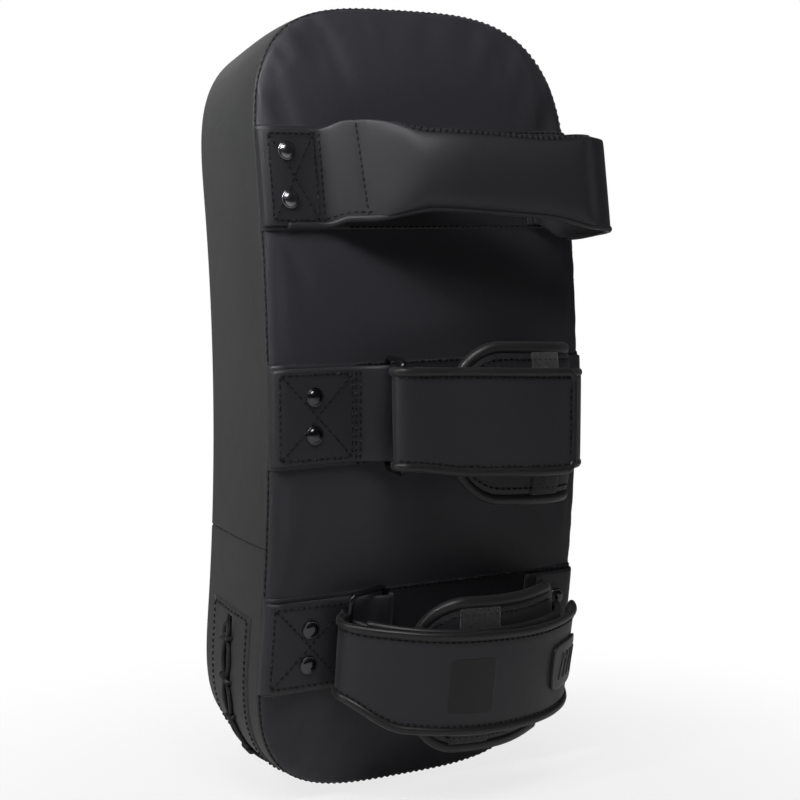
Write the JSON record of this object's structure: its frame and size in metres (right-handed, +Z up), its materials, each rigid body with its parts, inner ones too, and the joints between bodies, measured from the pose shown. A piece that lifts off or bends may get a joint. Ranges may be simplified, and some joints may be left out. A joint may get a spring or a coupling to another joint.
{
  "type": "kick shield",
  "caption": "Curved laced foam kick shield with a padded rear hand grip and ring-tightened forearm straps with hook-and-loop tails.",
  "frame": {"origin": "on the outer surface of the rear panel, at mid-width and mid-height, where the forearm lies", "axes": "+Z up the pad towards the handle end, +Y out of the rear panel towards the holder's arm, +X towards the side that carries the strap rings"},
  "size_m": [0.1976, 0.142, 0.401],
  "materials": {
    "pad_leather": "matte",
    "gusset_leather": "matte",
    "strap_leather": "matte",
    "edge_tape": "satin",
    "foam": "matte",
    "cord": "matte",
    "webbing": "matte",
    "hook_loop": "matte",
    "ring_metal": "gloss",
    "rivet_bright": "polished",
    "rivet_dark": "gloss",
    "steel": "satin",
    "badge_rubber": "satin"
  },
  "bodies": {
    "pad": {"strike_panel": "pad_leather", "rear_panel": "pad_leather", "gusset_upper": "gusset_leather", "gusset_lower": "gusset_leather", "lacing_facing": "gusset_leather", "lace_tongue": "gusset_leather", "lace_cord": "cord", "strike_foam": "foam", "core_foam": "foam", "rear_foam": "foam", "handle_base_band": "strap_leather", "handle_end_left": "strap_leather", "handle_end_right": "strap_leather", "handle_rivets": "rivet_bright", "handle_rivet_washers": "steel", "middle_base_band": "strap_leather", "middle_ring_tab": "strap_leather", "middle_rivets": "rivet_dark", "middle_rivet_washers": "steel", "middle_strap": "strap_leather", "middle_strap_binding": "edge_tape", "middle_loop_patch": "hook_loop", "lower_base_band": "strap_leather", "lower_ring_tab": "strap_leather", "lower_rivets": "rivet_dark", "lower_rivet_washers": "steel", "lower_strap": "strap_leather", "lower_strap_binding": "edge_tape", "lower_loop_patch": "hook_loop"},
    "handle": {"handle_cover": "strap_leather", "handle_foam": "foam", "handle_webbing": "webbing"},
    "middle_ring": {"middle_ring": "ring_metal"},
    "middle_tail": {"middle_tail": "strap_leather", "middle_tail_binding": "edge_tape", "middle_hook_patch": "hook_loop"},
    "middle_forearm_pad": {"middle_forearm_cover": "strap_leather", "middle_forearm_foam": "foam", "middle_forearm_binding": "edge_tape", "middle_forearm_loop": "hook_loop"},
    "lower_ring": {"lower_ring": "ring_metal"},
    "lower_tail": {"lower_tail": "strap_leather", "lower_tail_binding": "edge_tape", "lower_hook_patch": "hook_loop", "lower_badge": "badge_rubber"},
    "lower_forearm_pad": {"lower_forearm_cover": "strap_leather", "lower_forearm_foam": "foam", "lower_forearm_binding": "edge_tape", "lower_forearm_loop": "hook_loop"}
  },
  "joints": [
    {"name": "handle_swing", "type": "hinge", "parent": "pad", "child": "handle", "pos_m": [0, -0.00888, 0.11314], "axis": [1, 0, 0], "range_deg": [-12, 12]},
    {"name": "middle_ring_swing", "type": "hinge", "parent": "pad", "child": "middle_ring", "pos_m": [0.03, 0.0046, -0.00151], "axis": [0, 0.0021, 1], "range_deg": [-2, 2]},
    {"name": "middle_tail_peel", "type": "hinge", "parent": "pad", "child": "middle_tail", "pos_m": [0.0356, 0.029, -0.00156], "axis": [0, -0.0021, -1], "range_deg": [0, 110]},
    {"name": "middle_forearm_flex", "type": "hinge", "parent": "pad", "child": "middle_forearm_pad", "pos_m": [-0.066, 0.009, -0.00152], "axis": [0, -0.0021, -1], "range_deg": [0, 8]},
    {"name": "lower_ring_swing", "type": "hinge", "parent": "pad", "child": "lower_ring", "pos_m": [0.028, -0.00469, -0.11604], "axis": [0, 0.159, 0.9873], "range_deg": [-2, 2]},
    {"name": "lower_tail_peel", "type": "hinge", "parent": "pad", "child": "lower_tail", "pos_m": [0.0518, 0.00282, -0.11725], "axis": [0, -0.159, -0.9873], "range_deg": [0, 100]},
    {"name": "lower_forearm_flex", "type": "hinge", "parent": "pad", "child": "lower_forearm_pad", "pos_m": [-0.066, -0.00034, -0.11674], "axis": [0, -0.159, -0.9873], "range_deg": [0, 8]}
  ]
}
